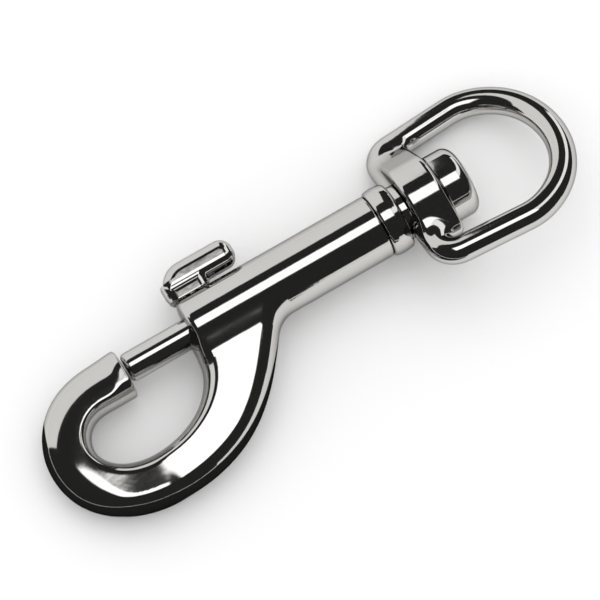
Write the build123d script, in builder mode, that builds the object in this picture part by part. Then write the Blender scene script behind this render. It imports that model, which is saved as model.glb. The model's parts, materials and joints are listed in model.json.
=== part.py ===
from build123d import *
import math
import os

os.makedirs("parts", exist_ok=True)

# Swivel snap hook, drawn along its own barrel axis and then laid down as it rests.
# Drawing frame: +X along the barrel to the swivel, origin on the axis at the mouth,
# +Y towards the thumb piece, +Z out of the face of the hook. Millimetres.

# ---------------------------------------------------------------- driving sizes
barrel_r = 5.45
barrel_length = 35.0
bow_thickness = 7.5
bolt_r = 2.5
wire_r = 2.27
collar_r = 5.95
hub_r = 7.2
head_r = 6.0
eye_half_width = 14.0
eye_length = 27.5
throw = 8.0

# fits and clearances
slide_fit = 0.06
turn_fit = 0.08
end_play = 0.12
stop_gap = 0.1
nose_gap = 0.4
thumb_clearance = 0.2
spring_seat = 0.05

# barrel inside
front_wall = 1.6
bore_r = 3.9
mouth_round = 0.9

# bolt inside
body_r = bore_r - slide_fit
bolt_tip_x = -12.05
shoulder_x = front_wall + stop_gap
body_length = 6.9
tail_r = 2.0
tail_length = 2.5
tip_round = 0.8

# thumb pin and its slot
pin_r = 1.5
slot_half_width = pin_r + slide_fit
pin_x = shoulder_x + pin_r + 0.2
pin_depth = 2.2
slot_start = pin_x - pin_r - stop_gap
slot_end = pin_x + throw + pin_r + stop_gap

# end plug and rivet
plug_length = 6.0
collar_length = 4.0
boss_r = 3.5
hub_length = 6.1
boss_length = 1.08
hub_x = barrel_length + collar_length + boss_length + end_play
eye_reach = hub_x + eye_length
head_x = hub_x + hub_length + end_play
head_length = 5.0
shank_r = 2.2
tail_bore_r = 3.0
tail_bore_depth = 2.4
peen_r = 2.85
peen_length = 1.6

# spring
spring_wire_r = 0.4
spring_r = 2.9
spring_turns = 11

# thumb piece
thumb_front = -0.5
thumb_length = 13.3
thumb_height = 5.65
thumb_overhang = 0.85
thumb_top = barrel_r + thumb_height
neck_length = 7.3
overhang_y = barrel_r + thumb_overhang
thumb_half_width = 2.45
edge_round = 1.4


# ---------------------------------------------------------------- hook body
# One casting: barrel, web, bow and nose.
half = bow_thickness / 2
nose_x = bolt_tip_x - nose_gap
nose_top = (nose_x, 3.6)
nose_bottom = (nose_x, -4.7)
throat_x = -1.35
well_x = -15.0
well_y = -14.7
crook_x = -23.05
outer_round = 2.6
inner_bevel = 1.6
web_end = (13.0, -6.5)
web_slope = 52
web_on_axis = (web_end[0] - web_end[1] / math.tan(math.radians(web_slope)), 0)

with BuildPart() as hook_body:
    with BuildSketch(Plane.XY.offset(-half)):
        with BuildLine():
            outer = Spline(
                nose_top,
                (-18.4, 3.5),
                (-24.6, 1.7),
                (-29.1, -2.6),
                (-31.1, -9.0),
                (-29.2, -16.4),
                (-24.4, -20.8),
                (-13.0, -23.3),
                (0.0, -19.8),
                (7.1, -13.9),
                web_end,
                tangents=((-1, 0), (math.cos(math.radians(web_slope)), math.sin(math.radians(web_slope)))),
            )
            Line(web_end, web_on_axis)
            Line(web_on_axis, (1.0, 0))
            Line((1.0, 0), (1.0, -2.0))
            Line((1.0, -2.0), (throat_x, -2.0))
            Line((throat_x, -2.0), (throat_x, -4.2))
            EllipticalCenterArc((well_x, -4.2), throat_x - well_x, -4.2 - well_y, 270)
            EllipticalCenterArc((well_x, -9.4), well_x - crook_x, -9.4 - well_y, 180)
            EllipticalCenterArc((crook_x + 4.7, -9.4), 4.7, 4.7, 90)
            Line((crook_x + 4.7, nose_bottom[1]), nose_bottom)
            Line(nose_bottom, nose_top)
        make_face()
    extrude(amount=bow_thickness)
    inner_rim = (
        hook_body.edges()
        .filter_by(lambda e: abs(abs(e.center().Z) - half) < 0.01)
        .filter_by(lambda e: e.length < 60 and e.center().X < -1.3 and e.center().Y < -2.5)
    )
    chamfer(inner_rim, length=inner_bevel)
    outer_rim = (
        hook_body.edges()
        .filter_by(lambda e: abs(abs(e.center().Z) - half) < 0.01)
        .filter_by(lambda e: e.length > 60)
    )
    fillet(outer_rim, radius=outer_round)
    with BuildSketch(Plane.YZ):
        Circle(barrel_r)
    extrude(amount=barrel_length)
    mouth_edge = hook_body.edges().filter_by(GeomType.CIRCLE).group_by(Axis.X)[0]
    fillet(mouth_edge, radius=mouth_round)
    with BuildSketch(Plane.YZ.offset(front_wall)):
        Circle(bore_r)
    extrude(amount=barrel_length, mode=Mode.SUBTRACT)
    with BuildSketch(Plane.YZ.offset(-3)):
        Circle(bolt_r + slide_fit)
    extrude(amount=front_wall + 4, mode=Mode.SUBTRACT)
    slot_middle = (slot_start + slot_end) / 2
    with BuildSketch(Plane(origin=(slot_middle, 0, 0), x_dir=(1, 0, 0), z_dir=(0, 1, 0))):
        SlotOverall(slot_end - slot_start, 2 * slot_half_width)
    extrude(amount=barrel_r + 1, mode=Mode.SUBTRACT)


# ---------------------------------------------------------------- bolt
# Rod with a larger guided end, a spring spigot and a cross hole for the thumb pin.
with BuildPart() as bolt:
    with BuildSketch(Plane.YZ.offset(bolt_tip_x)):
        Circle(bolt_r)
    extrude(amount=shoulder_x - bolt_tip_x)
    fillet(bolt.edges().group_by(Axis.X)[0], radius=tip_round)
    with BuildSketch(Plane.YZ.offset(shoulder_x)):
        Circle(body_r)
    extrude(amount=body_length)
    with BuildSketch(Plane.YZ.offset(shoulder_x + body_length)):
        Circle(tail_r)
    extrude(amount=tail_length)
    with BuildSketch(Plane(origin=(pin_x, -pin_depth, 0), x_dir=(1, 0, 0), z_dir=(0, 1, 0))):
        Circle(pin_r)
    extrude(amount=2 * bore_r, mode=Mode.SUBTRACT)


# ---------------------------------------------------------------- thumb piece
# L-shaped rounded casting: pad along the barrel, neck at its front, pin through the slot.
pad_end = thumb_front + thumb_length
neck_end = thumb_front + neck_length
with BuildPart() as thumb_piece:
    with BuildSketch(Plane.XY.offset(-thumb_half_width)) as side:
        with BuildLine():
            Polyline(
                (thumb_front, 4),
                (thumb_front, thumb_top),
                (pad_end, thumb_top),
                (pad_end, overhang_y),
                (neck_end, overhang_y),
                (neck_end, 4),
                close=True,
            )
        make_face()
        fillet(side.vertices().group_by(Axis.Y)[-1].sort_by(Axis.X)[0], radius=4.2)
        fillet(side.vertices().group_by(Axis.Y)[-1].sort_by(Axis.X)[-1], radius=2.2)
        fillet(side.vertices().group_by(Axis.X)[-1].sort_by(Axis.Y)[0], radius=1.6)
    extrude(amount=2 * thumb_half_width)
    long_edges = (
        thumb_piece.edges()
        .filter_by(lambda e: abs(abs(e.center().Z) - thumb_half_width) < 0.01)
        .filter_by(lambda e: e.center().Y > 5 and e.center().X < pad_end)
        .filter_by(lambda e: abs(e.center().X - neck_end) > 0.01)
    )
    fillet(long_edges, radius=edge_round)
    with BuildSketch(Plane.YZ.offset(thumb_front - 1)):
        Circle(barrel_r + thumb_clearance)
    extrude(amount=thumb_length + 2, mode=Mode.SUBTRACT)
    with BuildSketch(Plane(origin=(pin_x, -pin_depth, 0), x_dir=(1, 0, 0), z_dir=(0, 1, 0))):
        Circle(pin_r)
    extrude(amount=pin_depth + overhang_y)


# ---------------------------------------------------------------- end plug
# Domed collar on a spigot pressed into the barrel, with a thrust boss for the eye.
plug_start = barrel_length - plug_length
boss_x = barrel_length + collar_length
with BuildPart() as end_plug:
    with BuildSketch(Plane.YZ.offset(plug_start)):
        Circle(bore_r)
    extrude(amount=plug_length)
    with BuildSketch(Plane.YZ.offset(barrel_length)):
        Circle(collar_r)
    extrude(amount=collar_length)
    fillet(end_plug.edges().filter_by(GeomType.CIRCLE).group_by(Axis.X)[-1], radius=2.2)
    with BuildSketch(Plane.YZ.offset(boss_x)):
        Circle(boss_r)
    extrude(amount=boss_length)
    with BuildSketch(Plane.YZ.offset(plug_start)):
        Circle(shank_r)
    extrude(amount=plug_length + collar_length + boss_length, mode=Mode.SUBTRACT)
    with BuildSketch(Plane.YZ.offset(plug_start)):
        Circle(tail_bore_r)
    extrude(amount=tail_bore_depth, mode=Mode.SUBTRACT)


# ---------------------------------------------------------------- swivel rivet
# Round head inside the eye, shank through the hub and plug, peened tail inside the plug.
peen_x = plug_start + tail_bore_depth - peen_length
with BuildPart() as swivel_rivet:
    with BuildSketch(Plane.YZ.offset(head_x)):
        Circle(head_r)
    extrude(amount=head_length)
    fillet(swivel_rivet.edges().group_by(Axis.X)[-1], radius=1.7)
    fillet(swivel_rivet.edges().group_by(Axis.X)[0], radius=0.5)
    with BuildSketch(Plane.YZ.offset(peen_x)):
        Circle(shank_r)
    extrude(amount=head_x - peen_x)
    with BuildSketch(Plane.YZ.offset(peen_x)):
        Circle(peen_r)
    extrude(amount=peen_length)
    fillet(swivel_rivet.edges().group_by(Axis.X)[0], radius=0.6)


# ---------------------------------------------------------------- bolt spring
# Compression coil between the guided end of the bolt and the end plug.
spring_start = shoulder_x + body_length + spring_seat + spring_wire_r
spring_height = plug_start - spring_seat - spring_wire_r - spring_start
with BuildPart() as bolt_spring:
    with BuildLine():
        coil = Helix(
            pitch=spring_height / spring_turns,
            height=spring_height,
            radius=spring_r,
            center=(spring_start, 0, 0),
            direction=(1, 0, 0),
        )
    with BuildSketch(Plane(origin=coil @ 0, z_dir=coil % 0)):
        Circle(spring_wire_r)
    sweep(path=coil, is_frenet=True)


# ---------------------------------------------------------------- swivel eye
# One casting: bored hub with flanks running out to the legs of a round-wire bow.
base_x = 41.2
corner_y = 9.9
corner_r = 3.2
lean = 4.5
leg_length = 11.5
end_reach = 11.5
flank_y = 9.3
flank_r = 2.6
with BuildPart() as swivel_eye:
    with BuildSketch(Plane.YZ.offset(hub_x)):
        Circle(hub_r)
        with Locations((flank_y, 0), (-flank_y, 0)):
            Circle(flank_r)
        make_hull()
    extrude(amount=hub_length)
    fillet(swivel_eye.edges().group_by(Axis.X)[0], radius=0.8)
    fillet(swivel_eye.edges().group_by(Axis.X)[-1], radius=0.8)
    with BuildLine(Plane.XY) as loop:
        Line((base_x, flank_y - 3), (base_x, corner_y))
        corner = JernArc((base_x, corner_y), (0, 1), radius=corner_r, arc_size=lean - 90)
        leg_end = corner @ 1 + (corner % 1) * leg_length
        Line(corner @ 1, leg_end)
        Spline(
            leg_end,
            (eye_reach - 0.3 * end_reach, 0.71 * eye_half_width),
            (eye_reach, 0),
            tangents=(corner % 1, (0, -1)),
        )
        mirror(about=Plane.XZ)
    with BuildSketch(Plane(origin=(base_x, flank_y - 3, 0), x_dir=(1, 0, 0), z_dir=(0, 1, 0))):
        Circle(wire_r)
    sweep(path=loop.wires()[0])
    with BuildSketch(Plane.YZ.offset(hub_x - 1)):
        Circle(shank_r + turn_fit)
    extrude(amount=hub_length + 2, mode=Mode.SUBTRACT)


# ---------------------------------------------------------------- laid down at rest
# The rim of the hub and the mouth of the barrel carry the axis, the bow drops to the
# floor on one side and one leg of the eye on the other.
pitch = math.degrees(math.atan((hub_r - barrel_r) / (hub_x - mouth_round)))
roll = 2.2
leg_rise = 0.75
swing = math.degrees(math.asin((hub_r + leg_rise - wire_r) / eye_half_width))

settle_body = Location((0, 0, 0), (0, -pitch, 0)) * Location((0, 0, 0), (roll, 0, 0))
settle_eye = Location((0, 0, 0), (0, -pitch, 0)) * Location((0, 0, 0), (-swing, 0, 0))

hook_body.part.move(settle_body)
bolt.part.move(settle_body)
thumb_piece.part.move(settle_body)
end_plug.part.move(settle_body)
swivel_rivet.part.move(settle_body)
bolt_spring.part.move(settle_body)
swivel_eye.part.move(settle_eye)

extent = Compound([hook_body.part, thumb_piece.part, swivel_eye.part, end_plug.part]).bounding_box()
ground = Location((-extent.center().X, -extent.center().Y, -extent.min.Z))

for made in (hook_body, bolt, thumb_piece, end_plug, swivel_rivet, bolt_spring, swivel_eye):
    made.part.move(ground)

hook_body.part.label = "hook_body"
export_step(hook_body.part, "parts/hook_body.step")
bolt.part.label = "bolt"
export_step(bolt.part, "parts/bolt.step")
thumb_piece.part.label = "thumb_piece"
export_step(thumb_piece.part, "parts/thumb_piece.step")
end_plug.part.label = "end_plug"
export_step(end_plug.part, "parts/end_plug.step")
swivel_rivet.part.label = "swivel_rivet"
export_step(swivel_rivet.part, "parts/swivel_rivet.step")
bolt_spring.part.label = "bolt_spring"
export_step(bolt_spring.part, "parts/bolt_spring.step")
swivel_eye.part.label = "swivel_eye"
export_step(swivel_eye.part, "parts/swivel_eye.step")
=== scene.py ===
"""Plated swivel snap hook on a pale table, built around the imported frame."""

import json
import math

import bpy
import numpy as np
from bpy.props import FloatProperty, FloatVectorProperty, IntProperty, PointerProperty
from mathutils import Matrix, Vector


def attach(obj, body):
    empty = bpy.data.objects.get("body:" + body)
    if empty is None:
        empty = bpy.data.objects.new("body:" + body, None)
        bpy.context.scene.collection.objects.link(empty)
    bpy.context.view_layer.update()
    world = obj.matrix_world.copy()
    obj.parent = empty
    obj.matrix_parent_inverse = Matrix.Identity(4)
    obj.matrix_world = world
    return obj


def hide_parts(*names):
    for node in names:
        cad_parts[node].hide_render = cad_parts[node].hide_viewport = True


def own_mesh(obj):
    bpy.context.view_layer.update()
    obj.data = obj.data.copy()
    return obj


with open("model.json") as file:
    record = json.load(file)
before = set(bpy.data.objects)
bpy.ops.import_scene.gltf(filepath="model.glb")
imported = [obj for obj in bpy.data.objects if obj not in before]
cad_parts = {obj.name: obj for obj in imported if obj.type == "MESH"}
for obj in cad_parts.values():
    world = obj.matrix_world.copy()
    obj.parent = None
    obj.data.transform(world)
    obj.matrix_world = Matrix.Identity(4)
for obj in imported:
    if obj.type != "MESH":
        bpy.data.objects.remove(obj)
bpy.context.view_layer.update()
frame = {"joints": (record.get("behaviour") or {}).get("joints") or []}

bl_info = {
    "name": "Swivel snap hook",
    "version": (1, 0, 0),
    "blender": (4, 5, 0),
    "location": "View3D > Sidebar > Snap hook",
    "description": "Builds the plated pieces of a swivel snap hook and its studio stage",
    "category": "Object",
}

MM = 0.001
HUB_MIDDLE = 43.2
FAR = 50


# ---------------------------------------------------------------- sizes
def length(name, description, default):
    return FloatProperty(name=name, description=description, default=default, min=0.0)


def number(name, description, default):
    return FloatProperty(name=name, description=description, default=default)


def tone(name, description, default):
    return FloatVectorProperty(
        name=name, description=description, subtype="COLOR", default=default, min=0, max=1
    )


class SnapBody(bpy.types.PropertyGroup):
    barrel_r: length("Barrel radius", "Outside radius of the barrel, mm", 5.45)
    barrel_end: length("Barrel length", "Mouth to the seam of the end plug, mm", 35.0)
    mouth_round: length("Mouth round", "Round on the rim of the mouth, mm", 1.1)
    half: length("Bow half thickness", "Half the thickness of the flat bow, mm", 3.75)
    outer_round: length("Outer round", "Width of the round on the outer edge, mm", 3.1)
    blend: length("Web blend", "Size of the fillet where web meets barrel, mm", 2.2)
    roll: number("Roll", "Turn of the hook about its barrel, degrees", 2.2)
    step: length("Mesh step", "Grid step of the casting's mesh, mm", 0.24)


class SnapBolt(bpy.types.PropertyGroup):
    bolt_r: length("Bolt radius", "Radius of the sliding bolt, mm", 2.5)
    tip: number("Bolt tip", "Position of the closed bolt's tip, mm", -12.05)
    thumb_top: length("Thumb height", "Top of the thumb pad above the axis, mm", 11.1)
    thumb_half: length("Thumb half width", "Half the width of the thumb pad, mm", 2.45)
    wire: length("Spring wire radius", "Radius of the spring wire, mm", 0.4)
    turns: IntProperty(name="Spring turns", description="Turns of the spring", default=11)


class SnapEye(bpy.types.PropertyGroup):
    hub_r: length("Hub radius", "Radius of the hub, mm", 7.2)
    wire_r: length("Eye wire radius", "Radius of the eye's bow, mm", 2.27)
    half_width: length("Eye half width", "Axis to the middle of the wire, mm", 14.0)
    reach: length("Eye reach", "Mouth of the barrel to the middle of the eye's end, mm", 67.7)
    swing: number("Swing", "Turn of the eye about the barrel, degrees", -23.936)
    collar_r: length("Collar radius", "Radius of the end plug's collar, mm", 5.95)
    head_r: length("Rivet head radius", "Radius of the rivet head, mm", 6.0)


class SnapLook(bpy.types.PropertyGroup):
    nickel: tone("Nickel", "Colour of the bright plate", (0.60, 0.593, 0.576))
    shade: tone("Nickel shade", "Warmer patches in the plate", (0.56, 0.552, 0.532))
    steel: tone("Spring steel", "Colour of the spring wire", (0.38, 0.38, 0.39))
    floor: tone("Table", "Colour of the table", (0.9, 0.9, 0.9))
    softbox: length("Softbox", "Brightness of the overhead softbox", 1.9)
    surround: length("Surround", "Brightness of the pale cards", 1.0)


# ---------------------------------------------------------------- curves
def clamped_spline(points, start, end, count):
    """Dense samples of a C2 cubic through points, leaving along start and arriving along end."""
    p = np.array(points, float)
    n = len(p)
    h = np.linalg.norm(np.diff(p, axis=0), axis=1)
    a = np.zeros((n, n))
    rhs = np.zeros((n, 2))
    a[0, 0] = a[-1, -1] = 1
    rhs[0], rhs[-1] = start, end
    for i in range(1, n - 1):
        a[i, i - 1], a[i, i], a[i, i + 1] = h[i], 2 * (h[i - 1] + h[i]), h[i - 1]
        rhs[i] = 3 * (h[i] * (p[i] - p[i - 1]) / h[i - 1] + h[i - 1] * (p[i + 1] - p[i]) / h[i])
    m = np.linalg.solve(a, rhs)
    out = []
    for i in range(n - 1):
        k = max(4, int(round(count * h[i] / h.sum())))
        t = np.linspace(0, 1, k, endpoint=(i == n - 2))[:, None]
        out.append(
            (2 * t**3 - 3 * t**2 + 1) * p[i]
            + (t**3 - 2 * t**2 + t) * h[i] * m[i]
            + (3 * t**2 - 2 * t**3) * p[i + 1]
            + (t**3 - t**2) * h[i] * m[i + 1]
        )
    return np.vstack(out)


def ellipse_arc(cx, cy, rx, ry, start, stop, count):
    t = np.radians(np.linspace(start, stop, count))
    return np.stack([cx + rx * np.cos(t), cy + ry * np.sin(t)], 1)


def line(a, b, spacing=0.15):
    k = max(2, int(math.dist(a, b) / spacing))
    t = np.linspace(0, 1, k)[:, None]
    return np.array(a, float) * (1 - t) + np.array(b, float) * t


class Outline:
    """A dense plane curve that gives the signed distance to it, positive on its left."""

    def __init__(self, points):
        keep = np.r_[True, np.linalg.norm(np.diff(points, axis=0), axis=1) > 1e-4]
        p = points[keep]
        s = np.r_[0, np.cumsum(np.linalg.norm(np.diff(p, axis=0), axis=1))]
        even = np.linspace(0, s[-1], int(s[-1] / 0.12))
        p = np.stack([np.interp(even, s, p[:, 0]), np.interp(even, s, p[:, 1])], 1)
        for _ in range(6):
            p[1:-1] = 0.25 * p[:-2] + 0.5 * p[1:-1] + 0.25 * p[2:]
        t = np.gradient(p, axis=0)
        step = np.linalg.norm(t, axis=1, keepdims=True)
        self.t = t / step
        turn = np.gradient(self.t, axis=0) / step
        self.n = np.stack([-self.t[:, 1], self.t[:, 0]], 1)
        k = (turn * self.n).sum(1)
        for _ in range(8):
            k[1:-1] = 0.25 * k[:-2] + 0.5 * k[1:-1] + 0.25 * k[2:]
        self.c, self.k = p, k

    def nearest(self, x, y):
        found = np.empty(len(x), int)
        sq = (self.c**2).sum(1)
        for i in range(0, len(x), 20000):
            q = np.stack([x[i : i + 20000], y[i : i + 20000]], 1)
            found[i : i + 20000] = (sq - 2 * q @ self.c.T).argmin(1)
        return found

    def distance(self, x, y, at):
        v = np.stack([x, y], 1) - self.c[at]
        s, m, k = (v * self.t[at]).sum(1), (v * self.n[at]).sum(1), self.k[at]
        return (2 * m - k * (s * s + m * m)) / (1 + np.sqrt((k * s) ** 2 + (k * m - 1) ** 2))


def smin(a, b, k):
    h = np.maximum(k - np.abs(a - b), 0) / k
    return np.minimum(a, b) - h * h * k / 4


def smax(a, b, k):
    return -smin(-a, -b, k)


def step01(v, a, b):
    t = np.clip((v - a) / (b - a), 0, 1)
    return t * t * (3 - 2 * t)


def edge_round(a, b, r):
    """Meeting of two solids a and b, its corner rounded by r."""
    qa, qb = a + r, b + r
    return np.minimum(np.maximum(qa, qb), 0) + np.hypot(np.maximum(qa, 0), np.maximum(qb, 0)) - r


# ---------------------------------------------------------------- meshes
def surface_net(field, low, high, step):
    """Quads on the zero of field, each corner pulled onto it, with the field's own normals."""
    axes = [np.arange(a, b + step, step) for a, b in zip(low, high)]
    gx, gy, gz = np.meshgrid(*axes, indexing="ij")
    inside = field(gx, gy, gz, None) < 0
    total = sum(
        inside[i : i - 1 or None, j : j - 1 or None, k : k - 1 or None].astype(np.int8)
        for i in (0, 1) for j in (0, 1) for k in (0, 1)
    )
    active = (total > 0) & (total < 8)
    index = -np.ones(active.shape, int)
    index[active] = np.arange(active.sum())
    p = (np.argwhere(active) + 0.5) * step + np.array(low, float)
    quads = []
    corners = {
        0: ((0, -1, -1), (0, 0, -1), (0, 0, 0), (0, -1, 0)),
        1: ((-1, 0, -1), (-1, 0, 0), (0, 0, 0), (0, 0, -1)),
        2: ((-1, -1, 0), (0, -1, 0), (0, 0, 0), (-1, 0, 0)),
    }
    for axis, around in corners.items():
        first = [slice(1, -1)] * 3
        second = [slice(1, -1)] * 3
        first[axis], second[axis] = slice(0, -1), slice(1, None)
        cut = inside[tuple(first)] != inside[tuple(second)]
        at = np.argwhere(cut) + np.array([0 if a == axis else 1 for a in range(3)])
        q = np.stack([index[tuple((at + np.array(c)).T)] for c in around], 1)
        out = inside[tuple(at.T)]
        quads.append(np.where(out[:, None], q, q[:, ::-1]))
    quads = np.vstack(quads)
    e = 0.01
    for turn in range(5):
        at = field.locate(p)
        g = np.stack(
            [
                field(*(p + d).T, at) - field(*(p - d).T, at)
                for d in np.eye(3) * e
            ],
            1,
        ) / (2 * e)
        size = np.maximum((g**2).sum(1), 0.05)
        if turn < 4:
            move = (field(*p.T, at) / size)[:, None] * g
            reach = np.linalg.norm(move, axis=1, keepdims=True)
            p = p - move * np.minimum(1, step / np.maximum(reach, 1e-9))
    normals = g / np.linalg.norm(g, axis=1, keepdims=True)
    return p, quads, normals


def make_object(name, verts, faces, matrix, normals=None, sharp=35):
    mesh = bpy.data.meshes.new(name)
    if isinstance(faces, np.ndarray):
        faces = faces.tolist()
    mesh.from_pydata((np.asarray(verts) * MM).tolist(), [], faces)
    mesh.update()
    mesh.shade_smooth()
    if normals is None:
        mesh.set_sharp_from_angle(angle=math.radians(sharp))
    mesh.transform(matrix)
    if normals is not None:
        turn = np.array(matrix.to_3x3())
        mesh.normals_split_custom_set_from_vertices((np.asarray(normals) @ turn.T).tolist())
    obj = bpy.data.objects.new(name, mesh)
    bpy.context.collection.objects.link(obj)
    return obj


def lathe(name, profile, matrix, segments=144):
    """Solid turned about X from (x, r) points; ends on the axis are closed."""
    a = np.linspace(0, 2 * math.pi, segments, endpoint=False)
    verts, rings = [], []
    for x, r in profile:
        if r < 1e-6:
            rings.append([len(verts)])
            verts.append((x, 0, 0))
        else:
            rings.append(list(range(len(verts), len(verts) + segments)))
            verts += [(x, r * math.cos(t), r * math.sin(t)) for t in a]
    faces = []
    pairs = list(zip(rings, rings[1:]))
    if len(rings[0]) > 1:
        pairs.append((rings[-1], rings[0]))
    for one, two in pairs:
        for i in range(segments):
            j = (i + 1) % segments
            if len(one) == 1 and len(two) > 1:
                faces.append((one[0], two[i], two[j]))
            elif len(two) == 1 and len(one) > 1:
                faces.append((one[i], two[0], one[j]))
            elif len(one) > 1:
                faces.append((one[i], two[i], two[j], one[j]))
    return make_object(name, verts, faces, matrix)


def round_up(x, r, size, count):
    """Quarter round in a lathe profile, from a face at x out to the radius r."""
    turns = np.linspace(0, math.pi / 2, count)
    return [(x + size * (1 - math.cos(t)), r - size + size * math.sin(t)) for t in turns]


def round_down(x, r, size, count):
    """Quarter round in a lathe profile, starting at x on the radius r and ending on a face."""
    turns = np.linspace(0, math.pi / 2, count)
    return [(x + size * math.sin(t), r - size * (1 - math.cos(t))) for t in turns]


def placed(spin):
    """Matrix that lays a piece down, drawn with its barrel along X and the mouth at the origin."""
    joint = next(j for j in frame["joints"] if j["name"] == "swivel")
    axis = Vector(joint["axis"])
    pitch = math.atan2(axis.z, axis.x)
    return (
        Matrix.Translation(Vector(joint["pos_m"]))
        @ Matrix.Rotation(-pitch, 4, "Y")
        @ Matrix.Rotation(math.radians(spin), 4, "X")
        @ Matrix.Translation((-HUB_MIDDLE * MM, 0, 0))
    )


# ---------------------------------------------------------------- fields
class Located:
    """A field over space built on plane outlines; locate finds each point's place on them once."""

    outlines = ()

    def locate(self, p):
        return [o.nearest(p[:, 0], p[:, 1]) for o in self.outlines]

    def plane(self, x, y, at):
        """Distances to each outline; on a grid, worked out once per column."""
        if at is not None:
            return [o.distance(x, y, i) for o, i in zip(self.outlines, at)]
        if x.ndim < 3:
            return [o.distance(x, y, o.nearest(x, y)) for o in self.outlines]
        cx, cy = x[:, :, 0].ravel(), y[:, :, 0].ravel()
        flat = [o.distance(cx, cy, o.nearest(cx, cy)).reshape(x.shape[:2]) for o in self.outlines]
        return [np.repeat(f[:, :, None], x.shape[2], 2) for f in flat]


class CastHook(Located):
    """Barrel, web, bow and nose as one casting with its bore, bolt hole and slot."""

    nose_x = -12.45
    throat_x = -1.35
    well = (-15.0, -9.5)
    nose_side = -8.0
    gate_round = 0.45
    front_wall = 1.6
    bore_r = 3.9
    slot_middle = 7.5
    slot_half = 4.35
    slot_r = 1.56

    def __init__(self, size, tip_r):
        self.s = size
        self.tip_r = tip_r
        lean = math.radians(52)
        outer = clamped_spline(
            [
                (-12.45, 3.6), (-18.4, 3.5), (-24.6, 1.7), (-29.1, -2.6), (-31.1, -9.0),
                (-29.2, -16.4), (-24.4, -20.8), (-13.0, -23.3), (0.0, -19.8), (7.1, -13.9), (13.0, -6.5),
            ],
            (-1, 0), (math.cos(lean), math.sin(lean)), 700,
        )
        run_in = line((-2.0, 3.6), (-12.5, 3.6))
        run_out = line((13.0, -6.5), (13.0 + 9 * math.cos(lean), -6.5 + 9 * math.sin(lean)))
        inner = np.vstack(
            [
                line((-5.0, -4.7), (-18.35, -4.7)),
                ellipse_arc(-18.35, -9.4, 4.7, 4.7, 90, 180, 70)[1:],
                ellipse_arc(-15.0, -9.4, 8.05, 5.3, 180, 270, 100)[1:],
                ellipse_arc(-15.0, -4.2, 13.65, 10.5, 270, 360, 180)[1:],
                line((-1.35, -4.2), (-1.35, 4.0))[1:],
            ]
        )
        self.outlines = (Outline(np.vstack([run_in, outer[1:], run_out[1:]])), Outline(inner))

    def __call__(self, x, y, z, at=None):
        s = self.s
        a, b = self.plane(x, y, at)
        b = -b
        angle = np.degrees(np.arctan2(y - self.well[1], x - self.well[0])) % 360
        left = step01(angle, 240, 195) * (angle > 60) * (x < self.nose_side)
        ro = s.outer_round + 2.7 * left - 0.4 * step01(x, -6, -20) * (1 - left)
        half = s.half + 0.15 * left
        a_in = 3.5 - 1.1 * left
        b_in = 4.2 - 0.2 * left
        face = (y + 14.0) * (0.07 * step01(x, -17.0, -12.5) - 0.032)
        zz = np.abs(z) - face * (a > -2) * (x < 16)
        zz = np.maximum(zz, 0)
        fo = (np.hypot(np.maximum(ro - a, 0) / ro, zz / half) - 1) * half
        fi = (np.hypot(np.maximum(a_in - b, 0) / a_in, np.abs(z) / b_in) - 1) * 3.2
        bow = smax(fo, fi, 0.18)
        # the gate, open between nose and throat
        gate = np.minimum(x - self.nose_x, self.throat_x - x)
        gate = np.minimum(gate, y + np.where(x < -6, 6.0, 4.6))
        bow = edge_round(bow, gate * (x > -30) + (gate - FAR) * (x <= -30), self.gate_round)
        bow = np.maximum(bow, y - 4.6 - 20 * (x < self.nose_side))
        bow = np.maximum(bow, (y + 0.3) * (x > self.nose_side) - FAR * (x <= self.nose_side))
        # the barrel, rounded at its mouth
        r = np.hypot(y, z)
        rim = s.mouth_round
        q = np.stack([r - s.barrel_r + rim, -x + rim])
        tube = np.minimum(q.max(0), 0) + np.hypot(np.maximum(q[0], 0), np.maximum(q[1], 0)) - rim
        tube = edge_round(tube, x - s.barrel_end, 0.35)
        fillet = 0.8 + (s.blend - 0.8) * step01(-y, 1.0, 5.0)
        solid = smin(tube, bow, fillet)
        # bolt hole, bore and thumb slot
        hole = np.where(x < self.front_wall, r - self.tip_r, r - self.bore_r)
        hole = np.maximum(hole, -x - 6)
        solid = smax(solid, -hole, 0.25)
        slot = np.hypot(np.maximum(np.abs(x - self.slot_middle) - self.slot_half, 0), z) - self.slot_r
        solid = smax(solid, -np.maximum(slot, 0.5 - y), 0.2)
        return solid


class ThumbPad:
    """Rounded pad along the barrel on a neck at its front."""

    front, back, underside = -0.5, 12.8, 6.3
    neck_end = 6.8
    clear_r = 5.65

    def __init__(self, size):
        self.s = size

    def locate(self, p):
        return None

    def __call__(self, x, y, z, at=None):
        s = self.s
        x0, x1, y0, y1 = self.front, self.back, self.underside, s.thumb_top
        cx, cy, hx, hy = (x0 + x1) / 2, (y0 + y1) / 2, (x1 - x0) / 2, (y1 - y0) / 2
        px, py = x - cx, y - cy
        r = np.where(px > 0, np.where(py > 0, 2.2, 1.9), np.where(py > 0, 4.2, 0.6))
        qx, qy = np.abs(px) - hx + r, np.abs(py) - hy + r
        pad = np.minimum(np.maximum(qx, qy), 0) + np.hypot(np.maximum(qx, 0), np.maximum(qy, 0)) - r
        neck = np.maximum(np.maximum(x0 - x, x - self.neck_end), y - 8.3)
        side = smin(pad, neck, 0.8)
        solid = edge_round(side, np.abs(z) - s.thumb_half, 1.9)
        return smax(solid, self.clear_r - np.hypot(y, z), 0.25)


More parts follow.
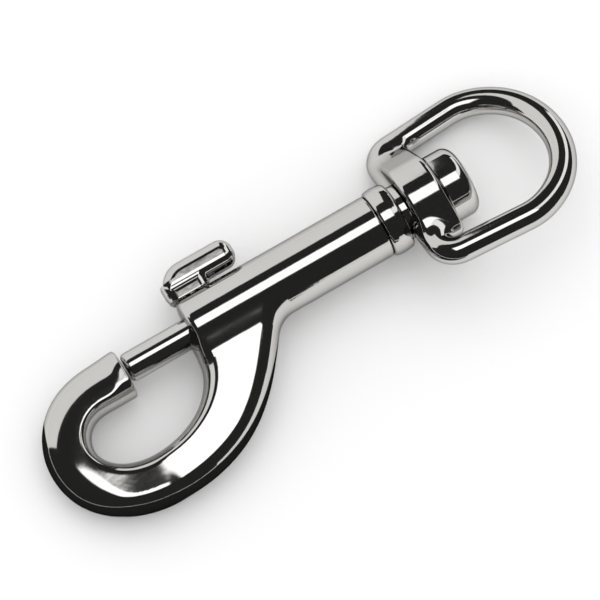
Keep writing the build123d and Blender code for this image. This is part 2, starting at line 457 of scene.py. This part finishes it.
class CastEye(Located):
    """Bored hub with flanks running out to the legs of a round-wire bow."""

    leg_lean = 4.5
    leg_length = 11.5
    elbow_r = 3.2
    hub_middle = 43.25
    hub_half = 3.05
    upper_flank, lower_flank = 9.3, 7.1
    flank_r = 2.4
    bore_r = 2.28

    def __init__(self, size):
        self.s = size
        lean = math.radians(self.leg_lean)
        top = [np.array(v) for v in line((41.2, 0.0), (41.2, 9.9))]
        arc = ellipse_arc(44.4, 9.9, self.elbow_r, self.elbow_r, 180, 90 + self.leg_lean, 60)
        start = arc[-1]
        out = (math.cos(lean), math.sin(lean))
        leg_end = start + self.leg_length * np.array(out)
        leg = line(start, leg_end)
        end = clamped_spline(
            [leg_end, (size.reach - 3.45, 0.71 * size.half_width), (size.reach, 0.0)],
            out, (0, -1), 260,
        )
        upper = np.vstack([top, arc[1:], leg[1:], end[1:]])
        lower = upper[::-1][1:] * np.array([1, -1])
        self.outlines = (Outline(np.vstack([upper, lower])),)

    def __call__(self, x, y, z, at=None):
        s = self.s
        (d,) = self.plane(x, y, at)
        wire = np.hypot(d, z) - s.wire_r
        ay, az = np.abs(y), np.abs(z)
        end = np.where(y > 0, self.upper_flank, self.lower_flank)
        lean = np.arcsin((s.hub_r - self.flank_r) / end)
        ny, nz = np.sin(lean), np.cos(lean)
        along = ay * nz - az * ny
        flank = ay * ny + az * nz - s.hub_r
        hub = np.where(along < 0, np.hypot(y, z) - s.hub_r, flank)
        hub = np.where(along > end * nz, np.hypot(ay - end, z) - self.flank_r, hub)
        hub = edge_round(hub, np.abs(x - self.hub_middle) - self.hub_half, 0.75)
        solid = smin(hub, wire, 1.6)
        bore = np.maximum(np.hypot(y, z) - self.bore_r, np.abs(x - self.hub_middle) - 6)
        return smax(solid, -bore, 0.15)


# ---------------------------------------------------------------- materials
# colour sockets of a Mix node
MIX_A, MIX_B, MIX_OUT = 6, 7, 2


def plate(name, colour, shade, rough, grain):
    """Bright plated metal with faint patches in tone and gloss and a soft unevenness."""
    mat = bpy.data.materials.new(name)
    mat.use_nodes = True
    nodes, links = mat.node_tree.nodes, mat.node_tree.links
    shader = nodes["Principled BSDF"]
    shader.inputs["Metallic"].default_value = 1.0
    shader.inputs["Specular Tint"].default_value = (0.42, 0.42, 0.42, 1)
    where = nodes.new("ShaderNodeTexCoord")
    patches = nodes.new("ShaderNodeTexNoise")
    patches.inputs["Scale"].default_value = 180
    patches.inputs["Detail"].default_value = 4
    links.new(where.outputs["Object"], patches.inputs["Vector"])
    tint = nodes.new("ShaderNodeMix")
    tint.data_type = "RGBA"
    tint.inputs[MIX_A].default_value = (*colour, 1)
    tint.inputs[MIX_B].default_value = (*shade, 1)
    links.new(patches.outputs["Fac"], tint.inputs[0])
    links.new(tint.outputs[MIX_OUT], shader.inputs["Base Color"])
    gloss = nodes.new("ShaderNodeMapRange")
    gloss.inputs["To Min"].default_value = rough * 0.75
    gloss.inputs["To Max"].default_value = rough * 1.35
    links.new(patches.outputs["Fac"], gloss.inputs["Value"])
    links.new(gloss.outputs["Result"], shader.inputs["Roughness"])
    ripple = nodes.new("ShaderNodeTexNoise")
    ripple.inputs["Scale"].default_value = 420
    ripple.inputs["Detail"].default_value = 2
    links.new(where.outputs["Object"], ripple.inputs["Vector"])
    bump = nodes.new("ShaderNodeBump")
    bump.inputs["Strength"].default_value = grain
    bump.inputs["Distance"].default_value = 0.0002
    links.new(ripple.outputs["Fac"], bump.inputs["Height"])
    links.new(bump.outputs["Normal"], shader.inputs["Normal"])
    return mat


def table_top(colour):
    mat = bpy.data.materials.new("table_top")
    mat.use_nodes = True
    nodes, links = mat.node_tree.nodes, mat.node_tree.links
    shader = nodes["Principled BSDF"]
    shader.inputs["Roughness"].default_value = 0.9
    shader.inputs["Specular IOR Level"].default_value = 0.1
    noise = nodes.new("ShaderNodeTexNoise")
    noise.inputs["Scale"].default_value = 3
    tint = nodes.new("ShaderNodeMix")
    tint.data_type = "RGBA"
    tint.inputs[MIX_A].default_value = (*colour, 1)
    tint.inputs[MIX_B].default_value = (*[c * 0.985 for c in colour], 1)
    links.new(noise.outputs["Fac"], tint.inputs[0])
    links.new(tint.outputs[MIX_OUT], shader.inputs["Base Color"])
    return mat


def finish_piece(obj, material, node, body):
    obj.data.materials.append(material)
    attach(obj, body)
    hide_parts(node)


def look(name, rough=0.07, grain=0.05):
    finish = name + "_finish"
    found = bpy.data.materials.get(finish)
    colours = bpy.context.scene.snap_look
    if found:
        return found
    if name == "spring_steel":
        return plate(finish, colours.steel, [c * 0.8 for c in colours.steel], 0.3, grain)
    return plate(finish, colours.nickel, colours.shade, rough, grain)


# ---------------------------------------------------------------- operators
class SNAP_OT_hook(bpy.types.Operator):
    """Casts the hook: barrel, web, bow and nose"""

    bl_idname = "snap.hook"
    bl_label = "Hook casting"

    def execute(self, context):
        size = context.scene.snap_body
        field = CastHook(size, context.scene.snap_bolt.bolt_r + 0.12)
        step = size.step
        p, q, n = surface_net(field, (-32.0, -24.4, -6.2), (36.0, 6.4, 6.2), step)
        obj = make_object("Hook_casting", p, q, placed(size.roll), n)
        finish_piece(obj, look("plated_casting"), "hook_body", "body")
        return {"FINISHED"}


class SNAP_OT_bolt(bpy.types.Operator):
    """Turns the bolt with its guided end and spring spigot"""

    bl_idname = "snap.bolt"
    bl_label = "Bolt"

    def execute(self, context):
        size = context.scene.snap_bolt
        r, tip = size.bolt_r, size.tip
        profile = [(tip, 0)]
        profile += round_up(tip, r, 0.9, 10)
        profile += [(1.7, r), (1.7, 3.84), (8.6, 3.84), (8.6, 2.0), (11.1, 2.0), (11.1, 0)]
        obj = lathe("Bolt", profile, placed(context.scene.snap_body.roll))
        finish_piece(obj, look("plated_steel", 0.08), "bolt", "bolt_group")
        return {"FINISHED"}


class SNAP_OT_thumb(bpy.types.Operator):
    """Casts the thumb piece and its pin"""

    bl_idname = "snap.thumb"
    bl_label = "Thumb piece"

    def execute(self, context):
        size = context.scene.snap_bolt
        spot = placed(context.scene.snap_body.roll)
        field = ThumbPad(size)
        step = 0.11
        p, q, n = surface_net(field, (-1.2, 4.2, -3.2), (13.6, 11.8, 3.2), step)
        obj = make_object("Thumb_piece", p, q, spot, n)
        pin_spot = spot @ Matrix.Translation((3.4 * MM, 0, 0)) @ Matrix.Rotation(math.pi / 2, 4, "Z")
        pin = lathe("pin", [(-2.1, 0), (-2.1, 1.5), (6.5, 1.5), (6.5, 0)], pin_spot, 48)
        both = [obj, pin]
        with context.temp_override(
            active_object=obj, object=obj, selected_objects=both, selected_editable_objects=both
        ):
            bpy.ops.object.join()
        finish_piece(obj, look("plated_casting"), "thumb_piece", "bolt_group")
        return {"FINISHED"}


class SNAP_OT_spring(bpy.types.Operator):
    """Winds the bolt spring as one fixed coil; nothing here shortens it as the bolt is drawn"""

    bl_idname = "snap.spring"
    bl_label = "Bolt spring"

    def execute(self, context):
        size = context.scene.snap_bolt
        low, high, r, wire = 9.05, 28.55, 2.9, size.wire
        per_turn, sides = 40, 10
        steps = size.turns * per_turn
        verts, faces = [], []
        for i in range(steps + 1):
            t = i / steps
            a = t * size.turns * 2 * math.pi
            x = low + (high - low) * t
            out = np.array([0, math.cos(a), math.sin(a)])
            for k in range(sides):
                b = 2 * math.pi * k / sides
                ring = out * (r + wire * math.cos(b))
                verts.append(np.array([x, 0, 0]) + ring + np.array([wire * math.sin(b), 0, 0]))
        for i in range(steps):
            for k in range(sides):
                m = (k + 1) % sides
                faces.append((i * sides + k, i * sides + m, (i + 1) * sides + m, (i + 1) * sides + k))
        faces += [tuple(range(sides))[::-1], tuple(range(steps * sides, (steps + 1) * sides))]
        spot = placed(context.scene.snap_body.roll)
        obj = make_object("Bolt_spring", verts, faces, spot, sharp=50)
        finish_piece(obj, look("spring_steel"), "bolt_spring", "body")
        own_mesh(obj)
        return {"FINISHED"}


class SNAP_OT_plug(bpy.types.Operator):
    """Turns the end plug and its beaded collar"""

    bl_idname = "snap.plug"
    bl_label = "End plug"

    def execute(self, context):
        r = context.scene.snap_eye.collar_r
        crown = 0.12
        edge = r - crown
        profile = [(29.0, 2.2), (29.0, 3.9), (34.9, 3.9), (35.05, edge - 0.75)]
        profile += round_up(35.1, edge, 0.6, 9)
        profile += [(x, r - crown * ((x - 36.85) / 1.2) ** 2) for x in np.linspace(35.9, 37.8, 8)]
        profile += round_down(38.0, edge, 0.9, 9)
        profile += [(38.95, 4.75), (39.95, 4.75), (40.08, 4.6), (40.08, 2.2)]
        obj = lathe("End_plug", profile, placed(context.scene.snap_body.roll))
        finish_piece(obj, look("plated_casting"), "end_plug", "body")
        return {"FINISHED"}


class SNAP_OT_rivet(bpy.types.Operator):
    """Turns the swivel rivet with its rounded head and peened tail"""

    bl_idname = "snap.rivet"
    bl_label = "Swivel rivet"

    def execute(self, context):
        r = context.scene.snap_eye.head_r
        profile = [(29.9, 0), (29.9, 2.3), (30.3, 2.7), (30.8, 2.85), (31.4, 2.7), (31.4, 2.2)]
        profile += [(46.42, 2.2), (46.42, r - 0.5), (46.52, r - 0.2), (46.75, r)]
        profile += round_down(49.5, r, 1.9, 16)
        profile += [(51.52, 2.4), (51.58, 0)]
        obj = lathe("Swivel_rivet", profile, placed(context.scene.snap_body.roll))
        finish_piece(obj, look("plated_steel", 0.08), "swivel_rivet", "body")
        return {"FINISHED"}


class SNAP_OT_eye(bpy.types.Operator):
    """Casts the swivel eye: hub, flanks and round-wire bow"""

    bl_idname = "snap.eye"
    bl_label = "Swivel eye"

    def execute(self, context):
        size = context.scene.snap_eye
        field = CastEye(size)
        step = 0.24
        p, q, n = surface_net(field, (37.8, -17.2, -8.0), (70.8, 17.2, 8.0), step)
        obj = make_object("Swivel_eye", p, q, placed(size.swing), n)
        finish_piece(obj, look("plated_casting"), "swivel_eye", "eye")
        return {"FINISHED"}


class SNAP_OT_stage(bpy.types.Operator):
    """Lays the table, lights the studio and sets the camera"""

    bl_idname = "snap.stage"
    bl_label = "Stage"

    def execute(self, context):
        look_at = context.scene.snap_look
        bpy.ops.mesh.primitive_plane_add(size=3)
        floor = context.active_object
        floor.name = "table"
        floor.data.materials.append(table_top(look_at.floor))
        studio_world(look_at)
        lamp = bpy.data.lights.new("soft_key", "AREA")
        lamp.energy = 1.5
        lamp.size = 0.9
        lamp.specular_factor = 0.0
        key = bpy.data.objects.new("soft_key", lamp)
        above = Vector((0.15, 0.25, 0.9))
        key.location = above
        key.rotation_euler = above.to_track_quat("Z", "Y").to_euler()
        key.visible_glossy = False
        bpy.context.collection.objects.link(key)
        studio_cards(look_at)
        context.scene.view_settings.view_transform = "Standard"
        set_camera()
        return {"FINISHED"}


def reflector(name, verts, faces, level):
    """Card that only the metal sees."""
    mesh = bpy.data.meshes.new(name)
    mesh.from_pydata((np.array(verts, float) * MM).tolist(), [], faces)
    mat = bpy.data.materials.new(name)
    mat.use_nodes = True
    shader = mat.node_tree.nodes["Principled BSDF"]
    shader.inputs["Base Color"].default_value = (0, 0, 0, 1)
    shader.inputs["Specular IOR Level"].default_value = 0
    shader.inputs["Emission Color"].default_value = (1, 1, 1, 1)
    shader.inputs["Emission Strength"].default_value = level
    mesh.materials.append(mat)
    card = bpy.data.objects.new(name, mesh)
    bpy.context.collection.objects.link(card)
    card.visible_camera = card.visible_diffuse = card.visible_shadow = False
    card.visible_transmission = card.visible_volume_scatter = False


def wall(x0, x1, y, height):
    """Corners of an upright card across the Y axis, in mm, its foot just above the table."""
    return [(x0, y, 0.5), (x1, y, 0.5), (x1, y, height), (x0, y, height)]


def strip_faces(count):
    """Quads between pairs of points that follow one another."""
    return [(2 * i, 2 * i + 1, 2 * i + 3, 2 * i + 2) for i in range(count - 1)]


def studio_cards(values):
    """Pale cards behind and before the barrel, a dark one under the bow's edge that paints the table's
    contact shadow into the bow's reflection, a strip by the eye.
    """
    reflector("card_back", wall(-220, 47, 124, 142), [(0, 1, 2, 3)], values.surround)
    reflector("card_front", wall(20, 240, -146, 27), [(0, 1, 2, 3)], values.surround)
    # painted shadow: a dark card lying on the table along the bow's outer edge, seen only in
    # reflections, stands in for the table's contact shadow there
    near = [
        (-27, 1), (-30, -3), (-31.6, -9), (-29.8, -16.6), (-24.8, -21.2),
        (-13, -23.9), (0.4, -20.3), (7.6, -14.3), (14.2, -7),
    ]
    far = [
        (-160, 90), (-220, 20), (-220, -60), (-200, -150), (-120, -230),
        (-60, -260), (0, -260), (30, -200), (34, -120),
    ]
    verts = [(x - 19.4, y + 4.1, 0.15) for pair in zip(near, far) for x, y in pair]
    reflector("card_painted_contact_shadow", verts, strip_faces(len(near)), 0.02)
    start, bend = Vector((0.2, 0.0, 0.98)), Vector((0.83, 0.2, 0.52)) * 1.3
    finish = Vector((0.635, 0.76, 0.134))
    eye_middle, reach, half_width = Vector((35, 4, 6)), 250, math.tan(math.radians(9))
    verts, count = [], 24
    for i in range(count):
        t = i / (count - 1)
        way = (start * (1 - t) ** 2 + bend * 2 * t * (1 - t) + finish * t * t).normalized()
        ahead = (bend - start) * (1 - t) + (finish - bend) * t
        side = way.cross(ahead).normalized() * half_width
        verts += [eye_middle + (way + side) * reach, eye_middle + (way - side) * reach]
    reflector("card_strip", verts, strip_faces(count), 1.3)


def studio_world(values):
    """White to the camera; to the metal, a softbox overhead in a dark room, which the cards complete."""
    world = bpy.data.worlds.new("studio")
    bpy.context.scene.world = world
    world.use_nodes = True
    nodes, links = world.node_tree.nodes, world.node_tree.links
    back = nodes["Background"]
    where = nodes.new("ShaderNodeTexCoord")
    split = nodes.new("ShaderNodeSeparateXYZ")
    links.new(where.outputs["Generated"], split.inputs["Vector"])

    def math_node(kind, a, b=None, clamp=False):
        node = nodes.new("ShaderNodeMath")
        node.operation = kind
        node.use_clamp = clamp
        for i, v in enumerate((a, b)):
            if v is None:
                continue
            if isinstance(v, (int, float)):
                node.inputs[i].default_value = v
            else:
                links.new(v, node.inputs[i])
        return node.outputs[0]

    across = math_node("ARCTAN2", split.outputs["Y"], split.outputs["Z"])
    along = math_node("ARCTAN2", split.outputs["X"], split.outputs["Z"])

    def band(angle, low, high, soft):
        over = math_node("SUBTRACT", angle, math.radians(low - soft / 2))
        under = math_node("SUBTRACT", math.radians(high + soft / 2), angle)
        width = math.radians(soft)
        return math_node(
            "MULTIPLY", math_node("DIVIDE", over, width, True), math_node("DIVIDE", under, width, True)
        )

    box = math_node("MULTIPLY", band(across, -13.5, 12.5, 2.5), band(along, -24, 16, 3))
    level = math_node("MAXIMUM", math_node("MULTIPLY", box, values.softbox), 0.022)
    path = nodes.new("ShaderNodeLightPath")
    glossy = nodes.new("ShaderNodeMix")
    glossy.inputs["A"].default_value = 1.05
    links.new(path.outputs["Is Glossy Ray"], glossy.inputs["Factor"])
    links.new(level, glossy.inputs["B"])
    seen = nodes.new("ShaderNodeMix")
    links.new(path.outputs["Is Camera Ray"], seen.inputs["Factor"])
    links.new(glossy.outputs["Result"], seen.inputs["A"])
    seen.inputs["B"].default_value = 1.0
    links.new(seen.outputs["Result"], back.inputs["Strength"])
    back.inputs["Color"].default_value = (1, 1, 1, 1)


def set_camera():
    """A long lens high over the hook side, turned so that the barrel climbs to the right."""
    data = bpy.data.cameras.new("view")
    cam = bpy.data.objects.new("view", data)
    bpy.context.collection.objects.link(cam)
    azimuth, elevation, distance = math.radians(-30.4), math.radians(71), 0.75
    level = math.cos(elevation)
    back = Vector((math.sin(azimuth) * level, -math.cos(azimuth) * level, math.sin(elevation)))
    turn = back.to_track_quat("Z", "Y")
    aim = placed(0) @ Vector((0, 0, 0)) + turn @ Vector((0.0176, 0.00525, 0))
    sensor, field_width = 36, 0.0966
    data.sensor_width = sensor
    data.lens = sensor * distance / field_width
    data.clip_start = 0.01
    cam.location = aim + back * distance
    cam.rotation_euler = turn.to_euler()
    bpy.context.scene.camera = cam


class SNAP_PT_panel(bpy.types.Panel):
    """Lists the pieces of the snap hook and its stage"""

    bl_idname = "SNAP_PT_panel"
    bl_label = "Swivel snap hook"
    bl_space_type = "VIEW_3D"
    bl_region_type = "UI"
    bl_category = "Snap hook"

    def draw(self, context):
        for operator in OPERATORS:
            self.layout.operator(operator.bl_idname)


GROUPS = (SnapBody, SnapBolt, SnapEye, SnapLook)
OPERATORS = (
    SNAP_OT_hook, SNAP_OT_bolt, SNAP_OT_thumb, SNAP_OT_spring,
    SNAP_OT_plug, SNAP_OT_rivet, SNAP_OT_eye, SNAP_OT_stage,
)


def register():
    for cls in (*GROUPS, *OPERATORS, SNAP_PT_panel):
        bpy.utils.register_class(cls)
    bpy.types.Scene.snap_body = PointerProperty(type=SnapBody)
    bpy.types.Scene.snap_bolt = PointerProperty(type=SnapBolt)
    bpy.types.Scene.snap_eye = PointerProperty(type=SnapEye)
    bpy.types.Scene.snap_look = PointerProperty(type=SnapLook)


def unregister():
    for name in ("snap_body", "snap_bolt", "snap_eye", "snap_look"):
        delattr(bpy.types.Scene, name)
    for cls in reversed((*GROUPS, *OPERATORS, SNAP_PT_panel)):
        bpy.utils.unregister_class(cls)


def main():
    register()
    for operator in OPERATORS:
        area, name = operator.bl_idname.split(".")
        if getattr(getattr(bpy.ops, area), name)() != {"FINISHED"}:
            raise RuntimeError(f"{operator.bl_idname} did not finish")


if __name__ == "__main__":
    main()
